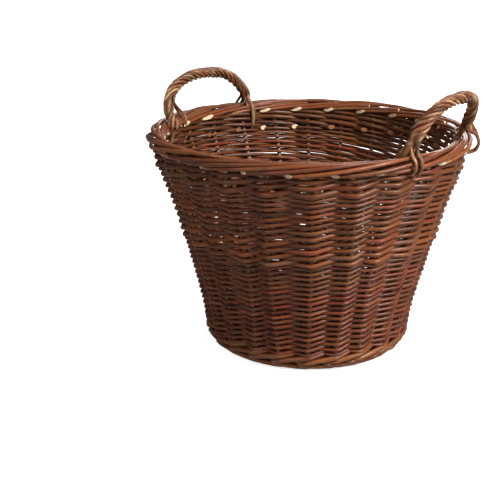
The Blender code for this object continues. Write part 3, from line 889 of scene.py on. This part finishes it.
def handle_core(direction, half_angle, rise, lean, power, thick, thin, spring):
    """A handle's centre line from foot to foot, and the core's diameters along it."""
    at_border = FOOT_RADIUS
    half_width = at_border * math.sin(half_angle)
    run = at_border * math.cos(half_angle)
    tall = rise + BORDER_REACH - 0.0075
    outward = radial(direction)
    sideways = radial(direction + 0.5 * math.pi)
    feet = []
    for side in (-1.0, 1.0):
        angle = direction + side * half_angle
        feet.append(
            [
                wall_points(angle, np.array(FOOT_TIP_LEVEL), -0.002),
                wall_points(angle, np.array(FOOT_WALL_LEVEL), -0.009),
                radial(angle) * at_border + upward(BORDER_HEIGHT),
            ]
        )
    bow = []
    for share in np.linspace(-0.5, 0.5, 24)[1:-1]:
        turn = math.pi * share
        aside = math.copysign(abs(math.sin(turn)) ** (2.0 / power), turn)
        up = math.cos(turn) ** (2.0 / power)
        bow.append(
            outward * (run + tall * math.tan(lean) * up**spring)
            + sideways * (half_width * aside)
            + upward(BORDER_HEIGHT + tall * up)
        )
    sizes = np.concatenate(
        [
            [0.35 * thick, 0.8 * thick, thick],
            np.linspace(thick, thin, 8),
            np.full(len(bow) - 8, thin),
            [thin, 0.8 * thin, 0.35 * thin],
        ]
    )
    return np.array(feet[0] + bow + feet[1][::-1]), sizes


def border_round(angle, turn, reach):
    """A point round the border's section, so far out from its middle."""
    bulge = float(side_share(angle))
    reach = reach * (1.0 + 0.6 * SIDE_LOOSENESS * bulge)
    radius = BORDER_RADIUS + SIDE_BULGE * bulge + reach * math.cos(turn)
    height = BORDER_HEIGHT - SIDE_DIP * bulge + reach * math.sin(turn)
    return radial(angle) * radius + upward(height)


OUTER_TURNS = (62.0, 28.0, -4.0, -36.0, -64.0, -90.0, -112.0, -135.0)
INNER_TURNS = (120.0, 150.0, 180.0, 207.0, 232.0)


def strand_foot(way, angle, shift, size, generator, inside, stand_off):
    """A strand's way down from where it stands round the core: over the border or inside it."""
    outward = -1.0 if inside else float(way @ radial(angle))
    beside = float(way @ radial(angle + 0.5 * math.pi))
    turns = OUTER_TURNS if outward > -0.3 else INNER_TURNS
    place = angle + (0.0062 * beside + shift + generator.normal(0.0, 0.0006)) / BORDER_RADIUS
    reach = BORDER_REACH + 0.5 * size + 0.0008
    if stand_off and turns is OUTER_TURNS:
        turns = turns[1:]
    points = []
    for turn in np.radians(turns):
        points.append(border_round(place, turn, reach + stand_off * max(math.cos(turn), 0.0)))
    return np.array(points)


def make_handle(
    side_name, direction, half_angle, rise, lean, power, thick, thin, spring, feet, seed
):
    """A core rod with thin rods wound over it, their ends taken round the border."""
    node = f"handle_{side_name}"
    generator = dice(8, seed)
    control, sizes = handle_core(direction, half_angle, rise, lean, power, thick, thin, spring)
    core, sizes = smooth_line(control, sizes, 0.003)
    tint = np.array([0.1, 1.05, 0.55])
    piece = tube(
        f"handle_{side_name}_core", core, sizes, tint, guide=radial(direction), seed=960 + seed
    )
    dress(piece, "handle_bark", node)
    headings, across, aside = carried_axes(core, radial(direction))
    lengths = np.concatenate([[0.0], np.cumsum(np.linalg.norm(np.diff(core, axis=0), axis=1))])
    above = core[:, 2] - BORDER_TOP_HEIGHT
    phases = 2.0 * math.pi * np.arange(HANDLE_STRANDS) / HANDLE_STRANDS
    ways = []
    for strand, phase in enumerate(phases):
        turn = phase + 2.0 * math.pi * lengths / HANDLE_LAY + 0.15 * np.sin(30.0 * lengths + strand)
        ways.append(across * np.cos(turn)[:, None] + aside * np.sin(turn)[:, None])
    plans = [foot_plan(foot, side, ways, above, direction, half_angle) for side, foot in enumerate(feet)]
    for strand, way in enumerate(ways):
        size = STRAND_DIAMETER * (1.0 + generator.normal(0.0, 0.06))
        coil = 0.485 * (sizes + size) + 0.0003 * np.sin(70.0 * lengths + 2 * strand)
        helix = core + way * coil[:, None]
        ends = []
        for side, plan in enumerate(plans):
            index, loops, shift, inside = plan[strand]
            angle = direction + (2.0 * side - 1.0) * half_angle
            if loops:
                stand_off = feet[side][3]
                ends.append(
                    strand_foot(way[index], angle, shift, 0.75 * size, generator, inside, stand_off)
                )
            else:
                ends.append(np.empty((0, 3)))
        first = plans[0][strand][0]
        last = plans[1][strand][0]
        line = np.concatenate([ends[0][::-1], helix[first : last + 1], ends[1]])
        widths = np.full(len(line), size)
        if len(ends[0]):
            widths[: len(ends[0])] *= np.linspace(0.75, 0.92, len(ends[0]))
        if len(ends[1]):
            widths[-len(ends[1]) :] *= np.linspace(0.92, 0.75, len(ends[1]))
        line, widths = smooth_line(line, widths, 0.0026)
        piece = tube(
            f"handle_{side_name}_strand_{strand + 1}", line, widths,
            rod_tint(dice(19, seed, strand), 0.48, 0.94, 0.22), guide=radial(direction),
            start_cut=1.0, end_cut=1.0, cut_out=radial(direction), seed=970 + 10 * seed + strand,
        )
        dress(piece, "handle_bark", node)
    return core, above


def foot_plan(foot, side, ways, above, direction, half_angle):
    """For each strand at a foot: where it leaves the core, and whether and how it goes on."""
    leave, shift, looped, _ = foot
    middle = len(above) // 2
    angle = direction + (2.0 * side - 1.0) * half_angle
    to_middle = radial(angle + 0.5 * math.pi) * (1.0 - 2.0 * side)

    def index_at(height):
        if side == 0:
            return int(np.flatnonzero(above[:middle] > height)[0])
        return middle + int(np.flatnonzero(above[middle:] > height)[-1])

    leaving = index_at(leave)
    tucked = index_at(-TUCK_DEPTH)
    favour = [float(way[leaving] @ (to_middle - radial(angle))) for way in ways]
    order = sorted(range(len(ways)), key=lambda strand: -favour[strand])
    all_loop = looped == len(ways)
    plan = [(tucked, False, 0.0, False)] * len(ways)
    for rank, strand in enumerate(order[:looped]):
        own_leave = index_at(leave + 0.004 * (rank % 2))
        plan[strand] = (own_leave, True, shift + 0.0034 * (rank % 3), not all_loop)
    return plan


STRAY_LENGTH = 0.011


def make_stray_end(name, core, above, side, height, way, size, tint, slot, node, seed):
    """The short cut end of a winding rod, left standing off a handle's leg."""
    middle = len(above) // 2
    near = np.abs((above[:middle] if side == 0 else above[middle:]) - height).argmin()
    start = core[near + (0 if side == 0 else middle)]
    points = np.array([start + way * STRAY_LENGTH * share for share in (0.0, 0.5, 1.0, 1.4)])
    points, sizes = smooth_line(points, np.linspace(size, 0.8 * size, 4), 0.002)
    piece = tube(name, points, sizes, tint, end_cut=1.2, cut_out=(0.3, -0.9, 0.3), seed=seed)
    dress(piece, slot, node)


# Stage


NEAR_GLOW = 0.79
FAR_GLOW = 0.87


def make_floor():
    """A white floor that keeps the soft shadow of the basket."""
    mesh = bpy.data.meshes.new("floor")
    reach = 6.0
    corners = [(-reach, -reach, 0.0), (reach, -reach, 0.0), (reach, reach, 0.0), (-reach, reach, 0.0)]
    mesh.from_pydata(corners, [], [(0, 1, 2, 3)])
    floor = bpy.data.objects.new("floor", mesh)
    bpy.context.scene.collection.objects.link(floor)
    material = bpy.data.materials.new("floor")
    material.use_nodes = True
    tree = material.node_tree
    tree.nodes.clear()
    out = tree.nodes.new("ShaderNodeOutputMaterial")
    plain = add_node(tree, "ShaderNodeBsdfDiffuse", Color=(0.45, 0.45, 0.45, 1.0))
    white = add_node(tree, "ShaderNodeBsdfDiffuse", Color=(1.0, 1.0, 1.0, 1.0))
    spot = tree.nodes.new("ShaderNodeNewGeometry")
    away = tree.nodes.new("ShaderNodeVectorMath")
    away.operation = "LENGTH"
    tree.links.new(spot.outputs["Position"], away.inputs[0])
    strength = remap(tree, away.outputs["Value"], 0.5, 2.5, NEAR_GLOW, FAR_GLOW)
    glow = add_node(tree, "ShaderNodeEmission", Color=(1.0, 1.0, 1.0, 1.0), Strength=strength)
    lit = tree.nodes.new("ShaderNodeAddShader")
    tree.links.new(white.outputs[0], lit.inputs[0])
    tree.links.new(glow.outputs[0], lit.inputs[1])
    seen = tree.nodes.new("ShaderNodeLightPath")
    mixed = tree.nodes.new("ShaderNodeMixShader")
    tree.links.new(seen.outputs["Is Camera Ray"], mixed.inputs[0])
    tree.links.new(plain.outputs[0], mixed.inputs[1])
    tree.links.new(lit.outputs[0], mixed.inputs[2])
    tree.links.new(mixed.outputs[0], out.inputs["Surface"])
    mesh.materials.append(material)


WORLD_LIGHT = 0.13


def make_world():
    """A white surround to the eye, and an even soft light on the basket."""
    world = bpy.data.worlds.new("studio")
    bpy.context.scene.world = world
    world.use_nodes = True
    tree = world.node_tree
    tree.nodes.clear()
    out = tree.nodes.new("ShaderNodeOutputWorld")
    light = add_node(tree, "ShaderNodeBackground", Color=(1.0, 1.0, 1.0, 1.0), Strength=WORLD_LIGHT)
    white = add_node(tree, "ShaderNodeBackground", Color=(1.0, 1.0, 1.0, 1.0), Strength=1.0)
    seen = tree.nodes.new("ShaderNodeLightPath")
    mixed = tree.nodes.new("ShaderNodeMixShader")
    tree.links.new(seen.outputs["Is Camera Ray"], mixed.inputs[0])
    tree.links.new(light.outputs[0], mixed.inputs[1])
    tree.links.new(white.outputs[0], mixed.inputs[2])
    tree.links.new(mixed.outputs[0], out.inputs["Surface"])


# Camera frame: sideways to the right, towards the camera and up
CAMERA_AZIMUTH = math.radians(36.5)
CAMERA_DISTANCE = 1.35
CAMERA_HEIGHT = 0.5932
CAMERA_PITCH = math.radians(19.05)
CAMERA_YAW = math.radians(3.60)
CAMERA_LENS = 69.73
SIDEWAYS = Vector((math.cos(CAMERA_AZIMUTH), math.sin(CAMERA_AZIMUTH), 0.0))
TOWARDS = Vector((math.sin(CAMERA_AZIMUTH), -math.cos(CAMERA_AZIMUTH), 0.0))
UP = Vector((0.0, 0.0, 1.0))


def make_camera():
    """The photograph's viewing angle."""
    data = bpy.data.cameras.new("camera")
    camera = bpy.data.objects.new("camera", data)
    bpy.context.scene.collection.objects.link(camera)
    camera.location = TOWARDS * CAMERA_DISTANCE + UP * CAMERA_HEIGHT
    flat = math.cos(CAMERA_PITCH)
    forward = (
        SIDEWAYS * (-math.sin(CAMERA_YAW) * flat)
        - TOWARDS * (math.cos(CAMERA_YAW) * flat)
        - UP * math.sin(CAMERA_PITCH)
    )
    camera.rotation_euler = forward.to_track_quat("-Z", "Y").to_euler()
    data.sensor_width = 36.0
    data.lens = CAMERA_LENS
    data.clip_start = 0.01
    bpy.context.scene.camera = camera


def add_lamp(name, sideways, towards, height, size, power, colour):
    """A square soft lamp that faces the basket."""
    data = bpy.data.lights.new(name, "AREA")
    data.shape = "SQUARE"
    data.size = size
    data.energy = power
    data.color = colour
    lamp = bpy.data.objects.new(name, data)
    bpy.context.scene.collection.objects.link(lamp)
    lamp.location = SIDEWAYS * sideways + TOWARDS * towards + UP * height
    aim = UP * 0.18 - lamp.location
    lamp.rotation_euler = aim.to_track_quat("-Z", "Y").to_euler()


def make_light():
    add_lamp("key", 1.5, 1.1, 1.7, 0.7, 79.0, (1.0, 0.98, 0.95))
    add_lamp("back", 0.5, -1.8, 0.7, 1.2, 17.0, (1.0, 0.99, 0.97))
    add_lamp("fill", -1.3, 1.3, 1.6, 1.2, 11.0, (0.96, 0.98, 1.0))


make_siding()
make_top_tier()
make_upset()
make_stakes()
make_border_fillers()
make_base()
right_core, right_above = make_handle(
    "right", math.radians(1.5), math.radians(22.0), 0.0710, math.radians(28.0), 2.8, 0.0115, 0.0070,
    0.85, ((0.026, 0.012, 6, 0.0), (0.018, 0.001, 6, 0.0055)), 1,
)
make_handle(
    "left", math.radians(180.9), math.radians(27.2), 0.0615, math.radians(22.0), 2.4,
    0.0075, 0.0070, 0.70, ((0.014, 0.004, 6, 0.0), (0.026, -0.056, 2, 0.0)), 2,
)
PALE_TINT = (0.0, 1.5, 0.9)
DARK_TINT = (0.6, 0.7, 0.3)
SIDE_WAY = np.array(SIDEWAYS)
make_stray_end(
    "handle_right_stray_1", right_core, right_above, 0, 0.030, 0.85 * SIDE_WAY - upward(0.5), 0.0034,
    PALE_TINT, "handle_bark", "handle_right", 995,
)
make_stray_end(
    "handle_right_stray_2", right_core, right_above, 1, 0.012, -0.9 * SIDE_WAY - upward(0.4), 0.0038,
    DARK_TINT, "handle_bark", "handle_right", 996,
)
make_floor()
make_world()
make_camera()
make_light()
bpy.context.scene.view_settings.view_transform = "Standard"
